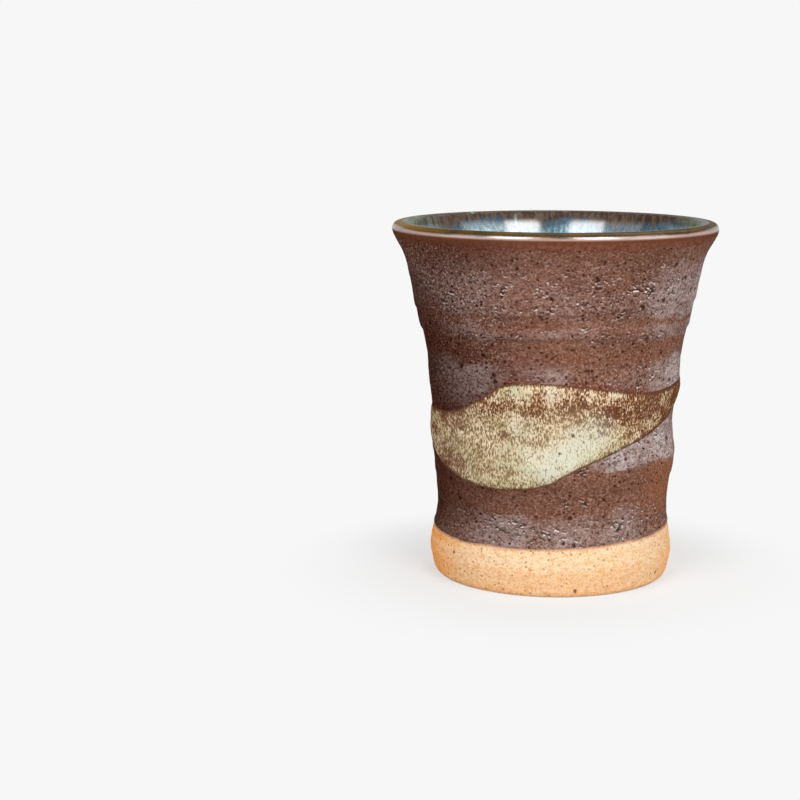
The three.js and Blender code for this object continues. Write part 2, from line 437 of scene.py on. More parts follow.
# %% The liner
FLOOR_RING, SPIRAL, WALL_RIPPLE = 0.16, 0.05, 0.1
liner = spun(inside_back[border:][::-1] + inside_face[border:], LINER_STEPS)
for vert in liner.verts:
    angle, radius, height = polar(vert)
    if radius < 17 and height > FLOOR - 0.25:
        ring = FLOOR_RING * math.exp(-((radius - 13.2) / 1.1) ** 2)
        spiral = SPIRAL * math.cos(TURN * (radius / 4.2 - angle / TURN))
        vert.co.z += MM * (ring + spiral * bias(1, 4, radius) * (1 - bias(11, 15, radius)))
    elif height > 18 and radius < smooth_line(INSIDE, height) + 0.25:
        push = MM * WALL_RIPPLE * lump(angle, height, 0.9, 3.4) * (1 - bias(70, 80, height))
        vert.co += Vector((vert.co.x, vert.co.y, 0)).normalized() * push
keep("liner_glaze_coat", liner)

# %% [markdown]
# ## The poured ash glaze
#
# A flat grid is the plainest start for a poured patch: one side of the grid follows the lower edge, the other the
# upper edge, and everything between is laid on the wall. Solidify gives it a back that is sunk in the brown coat.
# Each point keeps how far it lies from the patch's edge, for the finish.

# %% The sweep's mesh
COLUMNS, ROWS = 330, 60
SWEEP_FOOT, SWEEP_THICKNESS, SWEEP_ROLL, SWEEP_GRAIN = 0.02, 0.42, 0.08, 0.05
SWEEP_BACK = 0.6 * MM
END_TAPER = 0.5  # millimetres from the edge for each degree from a pointed end
DEEP = 4.0  # millimetres from the edge where the kept depth reaches 1
ash = bmesh.new()
bmesh.ops.create_grid(ash, x_segments=COLUMNS, y_segments=ROWS, size=0.5)
depth_layer = ash.verts.layers.float.new("depth")
for vert in ash.verts:
    degrees = FIRST + (LAST - FIRST) * (vert.co.x + 0.5)
    low, high = sweep_bottom(degrees), sweep_top(degrees)
    height = low + (high - low) * (vert.co.y + 0.5)
    from_edge = min(height - low, high - height, (degrees - FIRST) * END_TAPER, (LAST - degrees) * END_TAPER)
    depth = bias(-0.2, 2.2, from_edge)
    roll = SWEEP_ROLL * math.exp(-((from_edge - 0.7) / 0.6) ** 2)
    grain = SWEEP_GRAIN * noise.noise(Vector((degrees / 1.3, height / 1.1, 0)))
    vert[depth_layer] = min(1.0, max(0.0, from_edge / DEEP))
    above = SWEEP_FOOT + SWEEP_THICKNESS * depth + roll + grain * depth
    vert.co = wall_point(math.radians(degrees), height, above)
bmesh.ops.recalc_face_normals(ash, faces=ash.faces)
if ash.faces[0].normal.dot(ash.faces[0].calc_center_median()) < 0:
    bmesh.ops.reverse_faces(ash, faces=ash.faces)
bmesh.ops.solidify(ash, geom=ash.faces[:] + ash.edges[:] + ash.verts[:], thickness=SWEEP_BACK)
bmesh.ops.recalc_face_normals(ash, faces=ash.faces)
keep("ash_glaze_sweep", ash)

# %% [markdown]
# ## A kit for the finishes
#
# Every finish is a Principled shader fed by patterns in Object coordinates, which are the part's own metres, so a
# size in millimetres stays that size on every piece. This small kit keeps the node code short: sizes are written as
# across and up, and a pattern that is wider than it is high lies in rings round the cup.

GLAZE_IOR = 1.45
RAGGED = 0.25


class Finish:
    """One node material, with short names for the nodes that the finishes share."""

    def __init__(self, name):
        self.material = bpy.data.materials.new(name)
        self.material.use_nodes = True
        self.nodes = self.material.node_tree.nodes
        self.shader = self.nodes["Principled BSDF"]
        self.place = self.nodes.new("ShaderNodeTexCoord").outputs["Object"]

    def add(self, kind, inputs, **settings):
        """A new node with its settings, and its inputs filled or linked."""
        node = self.nodes.new(kind)
        for key, value in settings.items():
            setattr(node, key, value)
        for key, value in inputs.items():
            self.put(node.inputs[key], value)
        return node

    def put(self, socket, value):
        """Links another node's output to a socket, or writes a constant on it."""
        if isinstance(value, bpy.types.NodeSocket):
            self.material.node_tree.links.new(value, socket)
        else:
            socket.default_value = value

    def sized(self, across, up, shift=(0.0, 0.0, 0.0)):
        """Coordinates in which a pattern's features are so many millimetres across and up."""
        scale = (1 / (across * MM), 1 / (across * MM), 1 / (up * MM))
        return self.add("ShaderNodeMapping", {"Vector": self.place, "Scale": scale, "Location": shift}).outputs[0]

    def cloud(self, across, up, detail=3.0, roughness=0.5, shift=(0.0, 0.0, 0.0), warp=0.0):
        """Soft noise from about 0.2 to 0.8."""
        inputs = {
            "Vector": self.sized(across, up, shift), "Scale": 1.0, "Detail": detail, "Roughness": roughness,
            "Distortion": warp,
        }
        return self.add("ShaderNodeTexNoise", inputs).outputs["Fac"]

    def cells(self, across, up, shift):
        """Distance to the nearest of scattered points, bent a little, and a random value for each point."""
        grid = self.sized(across, up, shift)
        bend = self.add("ShaderNodeTexNoise", {"Vector": grid, "Scale": 3.0, "Detail": 1.0}).outputs["Color"]
        bent = self.add("ShaderNodeVectorMath", {0: bend, 1: (RAGGED,) * 3, 2: grid}, operation="MULTIPLY_ADD")
        node = self.add("ShaderNodeTexVoronoi", {"Vector": bent.outputs[0], "Scale": 1.0})
        pick = self.add("ShaderNodeSeparateColor", {"Color": node.outputs["Color"]})
        return node.outputs["Distance"], pick.outputs[0]

    def specks(self, across, share, size, shift=(0.0, 0.0, 0.0), up=None, soft=0.08):
        """Scattered dots: so large a share of the cells has one, and its size varies. 1 in a dot, 0 outside."""
        distance, pick = self.cells(across, up or across, shift)
        reach = self.lift(pick, 1 - share, 1.0, 0.0, size / across)
        return self.lift(self.math("SUBTRACT", reach, distance), -0.02, soft)

    def lift(self, value, low, high, to_low=0.0, to_high=1.0):
        """A value's stretch from low to high, smoothed and spread over a new range."""
        inputs = {"Value": value, "From Min": low, "From Max": high, "To Min": to_low, "To Max": to_high}
        return self.add("ShaderNodeMapRange", inputs, interpolation_type="SMOOTHSTEP").outputs[0]

    def bands(self, value, stops):
        """A value that changes along stops of (place, amount), the first of them at 0."""
        scale = stops[-1][0]
        node = self.add("ShaderNodeValToRGB", {"Fac": self.times(value, 1 / scale)})
        ramp = node.color_ramp
        ramp.interpolation = "EASE"
        for place, amount in stops[1:-1]:
            ramp.elements.new(place / scale).color = (amount, amount, amount, 1)
        for element, (place, amount) in ((ramp.elements[0], stops[0]), (ramp.elements[-1], stops[-1])):
            element.position, element.color = place / scale, (amount, amount, amount, 1)
        return node.outputs["Color"]

    def math(self, operation, first, second):
        return self.add("ShaderNodeMath", {0: first, 1: second}, operation=operation).outputs[0]

    def times(self, *values):
        return functools.reduce(lambda first, second: self.math("MULTIPLY", first, second), values)

    def plus(self, *values):
        return functools.reduce(lambda first, second: self.math("ADD", first, second), values)

    def most(self, *values):
        return functools.reduce(lambda first, second: self.math("MAXIMUM", first, second), values)

    def mix(self, factor, first, second, blend="MIX"):
        """The second colour over the first one."""
        node = self.add("ShaderNodeMix", {0: factor}, data_type="RGBA", blend_type=blend)
        self.put(node.inputs[6], first)
        self.put(node.inputs[7], second)
        return node.outputs[2]

    def along(self, axis):
        """The place along an axis, in metres."""
        return self.add("ShaderNodeSeparateXYZ", {"Vector": self.place}).outputs[axis]

    def height(self):
        """Height above the foot in millimetres."""
        return self.times(self.along("Z"), 1 / MM)

    def near(self, degrees, height, inner, outer):
        """1 within an inner distance of a place on the wall, falling to 0 at an outer one, in millimetres."""
        spot = tuple(wall_point(math.radians(degrees), height))
        away = self.add("ShaderNodeVectorMath", {0: self.place, 1: spot}, operation="DISTANCE").outputs["Value"]
        return self.lift(away, inner * MM, outer * MM, 1.0, 0.0)

    def spots(self, places):
        """The strongest of several near() masks, each given as degrees, height, inner, outer and strength."""
        return self.most(*(self.times(self.near(*place[:4]), place[4]) for place in places))

    def own(self, attribute):
        """What the mesh keeps at each point under this name."""
        return self.add("ShaderNodeAttribute", {}, attribute_name=attribute).outputs["Fac"]

    def relief(self, value, depth, normal=None):
        """A bump of so many millimetres."""
        inputs = {"Height": value, "Distance": depth * MM, "Strength": 1.0}
        if normal is not None:
            inputs["Normal"] = normal
        return self.add("ShaderNodeBump", inputs).outputs[0]

    def satin(self, face_on, grazing):
        """Roughness that grows towards grazing angles, as on a glaze full of fine grain."""
        facing = self.add("ShaderNodeLayerWeight", {"Blend": 0.5}).outputs["Facing"]
        return self.lift(facing, 0.3, 0.75, face_on, grazing)

    def surface(self, colour, roughness, specular, normal):
        """Joins the patterns to the shader."""
        inputs = self.shader.inputs
        self.put(inputs["Base Color"], colour)
        self.put(inputs["Roughness"], roughness)
        self.put(inputs["Normal"], normal)
        inputs["IOR"].default_value, inputs["Specular IOR Level"].default_value = GLAZE_IOR, specular

    def clear_coat(self, weight, roughness, ior):
        """A glossy layer on top."""
        inputs = self.shader.inputs
        self.put(inputs["Coat Weight"], weight)
        inputs["Coat Roughness"].default_value, inputs["Coat IOR"].default_value = roughness, ior

    def wear(self, name):
        """Puts the finish on a piece."""
        materials = PIECES[name].data.materials
        materials.clear()
        materials.append(self.material)
        print(self.material.name, "on", name, "nodes", len(self.nodes))


# %% [markdown]
# ## Bare clay
#
# The foot is buff stoneware fired to a warm tan. It is dry to the touch, so the shader is rough, and its detail is
# sand: pale and orange grains in soft blotches, sparse iron specks, and faint level lines from the trimming tool. The
# fire flashed it orange at both sides and towards the bottom, and dark in a thin line right under the glaze.

# %% The clay's finish
FLASHED = [(-88, 5.0, 6.0, 30.0, 1.0), (88, 2.0, 3.0, 22.0, 0.7)]  # degrees, height, inner and outer reach, strength
SCORCHED = [(-82, 3.0, 4.0, 24.0, 0.8), (78, 1.0, 2.0, 15.0, 0.5)]

f = Finish("bare_stoneware")
sand = f.cloud(0.55, 0.5, 1.0, 0.5)
blotch = f.cloud(1.6, 1.1, 2.0, 0.6, (2.0, 7.0, 5.0))
bloom = f.cloud(9.0, 4.0, 2.0, 0.5)
rings = f.cloud(16.0, 0.9, 2.0, 0.5)
turned = f.cloud(40.0, 1.8, 1.0, 0.5, (0.0, 3.0, 2.0))
belly = f.plus(f.height(), f.lift(bloom, 0.3, 0.7, -1.0, 1.0))
flashed = f.most(f.spots(FLASHED), f.lift(belly, 7.2, 6.4, 0.0, 0.25), f.lift(belly, 4.5, 0.5, 0.0, 0.45))
colour = f.mix(flashed, (0.80, 0.575, 0.365, 1), (0.95, 0.395, 0.098, 1))
colour = f.mix(f.lift(turned, 0.50, 0.62, 0, 0.4), colour, (0.84, 0.65, 0.46, 1))
colour = f.mix(f.lift(sand, 0.50, 0.66, 0, 0.65), colour, (0.62, 0.29, 0.10, 1))
colour = f.mix(f.lift(sand, 0.46, 0.30, 0, 0.4), colour, (0.88, 0.64, 0.40, 1))
colour = f.mix(f.lift(blotch, 0.52, 0.68, 0, 0.6), colour, (0.70, 0.37, 0.14, 1))
colour = f.mix(f.lift(blotch, 0.46, 0.30, 0, 0.6), colour, (0.86, 0.62, 0.38, 1))
colour = f.mix(f.lift(rings, 0.56, 0.72, 0, 0.3), colour, (0.66, 0.34, 0.13, 1))
colour = f.mix(f.lift(f.height(), 0.9, 0.2, 0, 0.25), colour, (0.50, 0.23, 0.08, 1))
colour = f.mix(f.spots(SCORCHED), colour, (1.0, 0.86, 0.66, 1), "MULTIPLY")
colour = f.mix(f.times(f.own("flash"), 0.8), colour, (0.34, 0.12, 0.06, 1))
colour = f.mix(f.times(f.specks(1.1, 0.6, 0.36), 0.7), colour, (0.34, 0.14, 0.05, 1))
colour = f.mix(f.times(f.specks(3.4, 0.3, 0.66), 0.85), colour, (0.09, 0.032, 0.012, 1))
f.surface(colour, 0.85, 0.25, f.relief(sand, 0.2, f.relief(rings, 0.15)))
f.wear("clay_body_foot")

# %% [markdown]
# ## Satin iron-brown glaze
#
# In this glaze rough and smooth belong together. Where the coat is smooth it is a clear red-brown, and where the
# clay's grit broke it up it turns grey, partly as painted sheen, with small hollows that hold painted shade and have
# painted glints on their edges. A list of level bands says how rough each height is, and decides both the colour and
# how much of the coat is broken. Lists of spots, placed by angle and height, add places of painted sheen, painted
# glints, a little amber, painted shade on the left side and painted shade on two broad stretches of the wall. A
# painted image could carry all this too, but patterns stay sharp at any distance and close up all round. The roughness
# is one soft satin, but the coat's specular level is 0, so it reflects nothing of its own: its sheen and glints are
# only the painted ones.

# %% Where the brown coat changes
ROUGH_BANDS = [  # height, how rough the coat is there
    (0, 0), (12, 1), (17, 0.9), (23, 0.15), (30.5, 0.1), (33, 0.9), (39, 0.8), (43, 0.3), (49, 0.5), (52, 1),
    (54, 0.9), (59.5, 0.1), (63.0, 0.1), (64.4, 0.7), (66.5, 0.6), (68.4, 0.2), (70.4, 0.8), (77, 0.9), (81, 0.5),
    (85, 0.25), (86.2, 0), (100, 0),
]
UPPER_SHADE = [(0, 0), (74, 0), (82, 0.4), (84.5, 0.3), (86, 0), (100, 0)]  # height, strength
# places of painted sheen: pale grey-mauve where light would catch the rough wall, on its right edge and its ridges
PAINTED_SHEEN_SPOTS = [  # degrees, height, inner and outer reach, strength
    (-44, 53, 3, 15, 1.0), (66, 52, 3, 14, 1.0), (36, 36, 2, 13, 1.0), (66, 36.5, 3, 15, 1.0),
    (-24, 15.5, 3, 13, 0.5), (36, 15, 1.5, 9, 0.4), (6, 14.5, 2, 12, 0.35), (-38, 75, 4, 17, 0.22),
    (-60, 76, 3, 16, 0.15), (56, 73, 4, 16, 0.55), (4, 64.9, 1.5, 11, 0.2), (-36, 64.9, 1.5, 12, 0.35),
    (-2, 54.5, 1, 9, 0.4), (85, 75, 6, 18, 0.7), (85, 54, 4, 16, 0.75), (160, 60, 5, 25, 0.8),
    (-150, 40, 5, 22, 0.7),
]
# places where painted glints, and the painted shade of their scrapes, gather
GLINTS = [
    (38, 75.2, 1, 4, 1), (34, 75.4, 1, 4, 1), (16, 77.5, 0.5, 3, 1), (27, 70, 0.5, 3, 1), (37, 72.5, 0.5, 4, 1),
    (-28, 78.5, 0.5, 4, 1), (-21, 75.8, 0.5, 4, 1), (-1, 71.2, 0.5, 3, 1), (13, 66.8, 0.5, 3, 0.8),
    (22, 66.8, 0.5, 3, 0.8), (14, 32, 0.5, 3, 1), (6, 23.5, 0.5, 2.5, 1), (16, 23.8, 0.5, 2.5, 1),
    (-26, 17, 1, 5, 1), (-14, 18.2, 0.5, 4, 1), (34, 17.2, 0.5, 4, 1), (1, 16.5, 0.5, 3, 1), (-44, 72.8, 1, 6, 1),
]
AMBER = [(66, 26, 4, 14, 0.8), (12, 60.5, 4, 18, 0.15), (52, 61, 3, 12, 0.15)]
# painted shade: the wall made darker around these two places
PAINTED_SHADE_SPOTS = [(48, 62, 10, 34, 1.0), (18, 23, 8, 28, 1.0)]
LEFT_SHADE = [(-104, 46, 26, 60, 1.0), (-50, 90, 10, 32, 0.55)]
print("bands", len(ROUGH_BANDS), "frosted places", len(PAINTED_SHEEN_SPOTS), "glints", len(GLINTS))

# %% What the wall and the lip share


def iron_brown(f):
    """The smooth brown that the wall and the lip share: its grain, its mottle and its colour."""
    grain = f.cloud(1.15, 0.9, 2.0, 0.55)
    streak = f.cloud(14.0, 1.0, 2.0, 0.6, (1.0, 2.0, 0.0))
    mottle = f.lift(grain, 0.32, 0.68)
    colour = f.mix(mottle, (0.172, 0.072, 0.0445, 1), (0.258, 0.1215, 0.080, 1))
    colour = f.mix(f.lift(streak, 0.5, 0.7, 0, 0.25), colour, (0.240, 0.118, 0.078, 1))
    red = f.mix(mottle, (0.125, 0.043, 0.025, 1), (0.190, 0.072, 0.045, 1))
    return grain, mottle, f.mix(f.lift(f.height(), 84.6, 86.0, 0, 0.85), colour, red)


def left_shade(f, colour):
    """Painted shade on the cup's left side: the same brown made darker there."""
    return f.mix(f.spots(LEFT_SHADE), colour, (0.31, 0.225, 0.21, 1), "MULTIPLY")


def dusted(f, colour, coarse):
    """Fine dark and pale flecks over a colour, stronger where the coat is coarse. They thin out towards the lip."""
    dust = f.cloud(0.52, 0.46, 0.0, 0.5, (3.0, 3.0, 3.0))
    left = f.near(-70, 66.0, 22.0, 45.0)
    dusty = f.most(f.lift(coarse, 0.0, 0.9, 0.5, 0.6), left)
    dusty = f.times(dusty, f.lift(f.height(), 87.4, 85.6))
    dark_fleck = f.times(f.lift(dust, 0.58, 0.72), dusty)
    pale_fleck = f.lift(f.plus(dust, f.times(left, 0.06)), 0.41, 0.29)
    colour = f.mix(dark_fleck, colour, (0.34, 0.22, 0.17, 1), "MULTIPLY")
    return f.mix(f.times(pale_fleck, dusty, dusty), colour, (0.48, 0.36, 0.32, 1))


# %% The brown coat's colour
f = Finish("satin_brown_glaze")
sway = f.lift(f.cloud(22.0, 12.0, 2.0, 0.5), 0.3, 0.7, -1.2, 1.2)
ripple = f.lift(f.cloud(9.0, 2.2, 2.0, 0.5, (1.0, 1.0, 6.0)), 0.3, 0.7, -0.8, 0.8)
banded = f.bands(f.plus(f.height(), sway, ripple), ROUGH_BANDS)
patch = f.cloud(13.0, 5.0, 2.0, 0.5, (3.0, 8.0, 1.0))
rough = f.times(banded, f.lift(patch, 0.35, 0.58, 0.5, 1.0))
grain, mottle, smooth_brown = iron_brown(f)
# the grey of the rough places is partly the glaze's own grey and partly painted sheen
rough_brown_and_sheen = f.mix(mottle, (0.155, 0.083, 0.067, 1), (0.282, 0.170, 0.141, 1))
colour = f.mix(f.times(rough, 0.8), smooth_brown, rough_brown_and_sheen)
tint = f.cloud(12.0, 6.0, 3.0, 0.6, (2.0, 9.0, 4.0))
colour = f.mix(f.lift(tint, 0.42, 0.70, 0, 0.5), colour, (0.125, 0.046, 0.027, 1))
colour = f.mix(f.spots(AMBER), colour, (0.250, 0.096, 0.044, 1))
colour = f.mix(f.spots(PAINTED_SHADE_SPOTS), colour, (0.85, 0.83, 0.81, 1), "MULTIPLY")
colour = f.mix(f.bands(f.height(), UPPER_SHADE), colour, (0.60, 0.54, 0.49, 1), "MULTIPLY")
colour = f.mix(f.times(f.own("halo"), 0.7), colour, (0.170, 0.045, 0.026, 1))
# painted sheen: pale grey-mauve over the rough bands at the places listed above
uneven_painted_sheen = f.lift(f.cloud(5.0, 2.5, 3.0, 0.6, (8.0, 8.0, 0.0)), 0.36, 0.58, 0.5, 1.0)
painted_sheen = f.times(f.spots(PAINTED_SHEEN_SPOTS), f.lift(banded, 0.1, 0.7), uneven_painted_sheen)
colour = f.mix(f.times(painted_sheen, f.lift(grain, 0.3, 0.65, 0.35, 0.95)), colour, (0.52, 0.455, 0.445, 1))
print("nodes for the colour", len(f.nodes))

# %% [markdown]
# The broken places come on top. A torn scrape is painted dark as shade, and the same pattern read a little higher up
# gives a painted highlight on its lower edge. Round hollows with painted shade, sparks as painted glints, dark iron
# dots and painted shade in the pits of the mesh follow.

# %% The brown coat's broken places
TORN_SIZE = (1.8, 0.9, 2.0, 0.55)
EDGE_ABOVE = 0.42
glints = f.spots(GLINTS)
coarse = f.most(f.lift(rough, 0.1, 0.9, 0.12, 0.8), f.most(painted_sheen, glints))
colour = dusted(f, colour, coarse)
hollow = f.specks(1.2, 0.7, 0.50, up=0.8)
spark = f.specks(1.2, 0.75, 0.36, (0.0, 0.0, EDGE_ABOVE), up=0.8)
cluster = f.lift(f.cloud(10.0, 5.0, 2.0, 0.5, (9.0, 4.0, 1.0)), 0.45, 0.60, -0.06, 0.0)
cluster = f.most(cluster, f.lift(glints, 0.0, 1.0, -0.06, 0.06))
scrape = f.lift(f.plus(f.cloud(*TORN_SIZE, (7.0, 3.0, 0.0)), cluster), 0.59, 0.67)
scrape_above = f.lift(f.plus(f.cloud(*TORN_SIZE, (7.0, 3.0, EDGE_ABOVE)), cluster), 0.59, 0.67)
scrape_edge = f.lift(f.math("SUBTRACT", scrape_above, scrape), 0.25, 0.8)
shine = f.lift(f.cloud(2.2, 1.6, 2.0, 0.6, (5.0, 0.0, 6.0)), 0.38, 0.64, 0.15, 1.0)
broken = f.times(f.most(scrape, hollow), coarse)
bright = f.times(f.most(scrape_edge, spark), coarse, shine)
# painted shade in the torn scrapes and round hollows
colour = f.mix(f.times(broken, 0.75), colour, (0.022, 0.006, 0.004, 1))
# painted glints on the scrapes' lower edges and as sparks
colour = f.mix(f.times(bright, 0.95), colour, (0.82, 0.70, 0.65, 1))
dots = f.most(f.specks(2.7, 0.55, 0.74, soft=0.12), f.specks(1.2, 0.45, 0.46, (4.0, 4.0, 1.0), soft=0.2))
colour = f.mix(f.times(dots, 0.9), colour, (0.042, 0.012, 0.005, 1))
# painted shade in the pits of the mesh, darker the deeper they lie
colour = f.mix(f.lift(f.own("pit"), 0.3, 0.9, 0, 0.7), colour, (0.036, 0.010, 0.004, 1))
peel = f.relief(f.times(grain, f.lift(rough, 0.0, 1.0, 0.2, 1.0)), 0.5)
holes = f.relief(f.math("SUBTRACT", f.times(broken, -1.0), dots), 0.2, peel)
# the coat reflects nothing of its own (specular level 0): its sheen and glints are the painted ones above
f.surface(left_shade(f, colour), f.satin(0.40, 0.95), 0.0, holes)
f.wear("brown_glaze_coat")

# %% [markdown]
# ## Ash glaze
#
# Ash glaze breaks over iron glaze: it floats in fine upright granules of cream and olive with brown showing between
# them, and where it pooled it cleared to a pale green. A fine upright noise gives the granules. Slow masks, placed
# by angle and height, say where the coat is thin and brown, pale along its upper edge, or pooled. The depth that each
# point of the sweep kept draws the dark line along its edge.

# %% Where the ash coat changes
POOL = [  # degrees, height, inner and outer reach, strength
    (-18, 34.4, 0, 8, 0.35), (-9, 34.0, 0, 8.5, 0.7), (-1, 33.4, 0, 9, 1), (6, 35.2, 0, 9, 1), (13, 38.0, 0, 9, 1),
    (21, 41.0, 0, 9, 0.8), (-13, 41.8, 0, 7, 0.5), (-16, 51.2, 0, 5, 0.35), (0, 51.4, 0, 4.5, 0.4),
]
THIN = [
    (72, 48, 6, 24, 1.8), (42, 48, 1, 10, 1.2), (25, 46.5, 1, 9, 1), (10, 48.2, 1, 8, 1.0), (-8, 47.4, 0, 7, 0.9),
    (-18, 49, 0, 6, 0.8), (-56, 31.5, 1, 9, 1.1), (-50, 43, 0, 9, 1.1), (-28, 47, 0, 8, 1.1), (-78, 38, 4, 12, 0.7),
    (-5, 50, 0.4, 2.6, 1.5), (-24, 46.8, 0.4, 2.8, 1.6), (28, 46.2, 0.6, 3, 2.0), (-47, 31.8, 0.4, 3.6, 2.2),
    (22, 40.8, 0.4, 2.2, 1.6), (-22, 40.2, 0.4, 2.2, 1.4), (-58, 42, 0.4, 4, 2.2),
]
PALE_STRIP = [
    (-14, 51.4, 1, 7, 1.1), (2, 51.6, 1, 6, 1.0), (16, 51.3, 0.6, 4.2, 1.0), (27, 50.4, 0.6, 4.0, 1.0),
    (39, 49.5, 0.6, 3.4, 0.8), (56, 43.6, 1, 7, 0.35),
]
CALM = [(-42, 36, 2, 14, 0.12), (-18, 36, 4, 14, 0.15), (8, 39, 3, 13, 0.25)]
print("pooled places", len(POOL), "thin places", len(THIN))

# %% The ash finish
f = Finish("ash_glaze")
depth = f.own("depth")
hair = f.cloud(0.36, 0.74, 0.0, 0.5, warp=0.6)
clump = f.cloud(2.4, 2.0, 2.0, 0.6, (3.0, 1.0, 0.0))
drift = f.cloud(12.0, 4.5, 2.0, 0.5, (1.0, 5.0, 2.0))
olive = f.lift(f.cloud(8.0, 6.0, 2.0, 0.5, (6.0, 2.0, 8.0)), 0.38, 0.62)
pool = f.times(f.spots(POOL), f.lift(f.cloud(4.0, 3.0, 2.0, 0.5, (3.0, 1.0, 5.0)), 0.3, 0.6, 0.7, 1.0))
thin = f.times(f.spots(THIN), f.lift(f.cloud(6.0, 2.2, 2.0, 0.6, (4.0, 4.0, 9.0)), 0.36, 0.62, 0.5, 1.25))
pale = f.most(pool, f.spots(PALE_STRIP))
cover = f.plus(f.times(hair, 0.62), f.times(clump, 0.28), f.times(drift, 0.14), f.times(pale, 0.09))
cover = f.math("SUBTRACT", cover, f.times(thin, 0.08))
cover = f.math("SUBTRACT", cover, f.lift(depth, 0.35, 0.0, 0.03, 0.13))
cream = f.mix(olive, (0.73, 0.605, 0.44, 1), (0.56, 0.52, 0.32, 1))
cream = f.mix(f.near(8, 50.0, 3.0, 16.0), cream, (0.71, 0.55, 0.40, 1))
cream = f.mix(f.lift(thin, 0.6, 1.6, 0, 0.7), cream, (0.50, 0.32, 0.17, 1))
gap = f.mix(f.lift(thin, 0.1, 0.8), (0.165, 0.080, 0.036, 1), (0.115, 0.036, 0.014, 1))
half = f.mix(f.lift(thin, 0.1, 0.9), (0.40, 0.275, 0.125, 1), (0.30, 0.145, 0.062, 1))
colour = f.mix(f.lift(cover, 0.37, 0.50), gap, half)
colour = f.mix(f.lift(cover, 0.46, 0.60), colour, cream)
fine = f.lift(f.cloud(0.34, 0.6, 0.0, 0.5, (5.0, 1.0, 2.0)), 0.50, 0.66, 0, 0.55)
colour = f.mix(fine, colour, (0.62, 0.52, 0.44, 1), "MULTIPLY")
colour = f.mix(f.spots(CALM), colour, (0.51, 0.445, 0.285, 1))
pooled = f.times(f.lift(pool, 0.0, 1.0, 0, 0.75), f.lift(cover, 0.40, 0.54, 0.3, 1.0))
colour = f.mix(pooled, colour, (0.60, 0.62, 0.51, 1))
clots = f.times(f.specks(4.6, 0.28, 1.3, (2.0, 1.0, 3.0), up=3.6), f.lift(pool, 0.0, 0.3, 0.6, 0.0))
colour = f.mix(clots, colour, (0.110, 0.048, 0.024, 1))
colour = f.mix(f.lift(depth, 0.20, 0.04, 0, 0.85), colour, (0.085, 0.028, 0.012, 1))
colour = f.mix(f.times(f.specks(2.8, 0.35, 0.6), 0.85), colour, (0.05, 0.018, 0.008, 1))
f.surface(colour, f.satin(0.34, 0.9), 0.12, f.relief(cover, 0.3))
f.wear("ash_glaze_sweep")

# %% [markdown]
# ## Amber lip
#
# On the outside of the lip the brown glaze ran thin and glossy. It starts as the wall's own brown with the same flecks
# and the same painted shade on the left, so the border of the two pieces doesn't show, and a clear coat comes up with
# the height. Just under the edge a pinkish-tan painted highlight lies where the streak of the front softboxes falls,
# weaker at the two sides. Right at the crest, where the blue coat overlaps it, it turns amber and dark olive.

# %% The lip's finish
# places at the two sides where the painted highlight fades
LIP_HIGHLIGHT_FADES = [(-90, 88, 8, 30, 0.85), (90, 88, 4, 22, 0.7)]  # degrees, height, inner and outer reach, strength

f = Finish("amber_lip_glaze")
height = f.height()
grain, _, smooth_brown = iron_brown(f)
tint = f.cloud(6.0, 2.0, 3.0, 0.6)
wall_brown = left_shade(f, dusted(f, smooth_brown, 0.12))
colour = f.mix(f.lift(height, 86.5, 88.0, 0, 0.7), wall_brown, (0.110, 0.036, 0.018, 1))
# painted highlight: pinkish tan just under the lip's edge, where the front softboxes' streak falls
painted_lip_highlight = f.times(f.lift(height, 88.1, 88.5, 0, 0.6), f.lift(height, 89.2, 88.8))
painted_lip_highlight = f.times(painted_lip_highlight, f.math("SUBTRACT", 1.0, f.spots(LIP_HIGHLIGHT_FADES)))
colour = f.mix(painted_lip_highlight, colour, (0.46, 0.27, 0.205, 1))
crest = f.mix(f.lift(tint, 0.30, 0.70), (0.105, 0.058, 0.017, 1), (0.048, 0.034, 0.015, 1))
crest = f.mix(f.near(-78, 88.0, 8.0, 34.0), crest, (0.200, 0.120, 0.026, 1))
crest_edge = f.plus(height, f.lift(tint, 0.3, 0.7, -0.25, 0.25))
colour = f.mix(f.lift(crest_edge, 88.8, 89.3), colour, crest)
f.surface(colour, f.satin(0.40, 0.95), 0.0, f.relief(grain, 0.1))
f.clear_coat(f.times(f.lift(height, 87.9, 88.6), f.lift(height, 89.1, 89.7, 1.0, 0.15)), 0.22, 2.2)
f.wear("lip_glaze_band")

# %% [markdown]
# ## Blue rim and cream liner
#
# The rim band and the liner are one run of colour: green and brown at the crest, only brown at the back, then a
# steel-blue zone full of dark upright streaks, then a greenish cream that clears to ivory. On the left a few pale runs
# come down from the crest. A clear coat gives the gloss, and it fades out below the crest. Both pieces take the same
# finish function, so that the run goes on across their border.

# %% The inside finishes


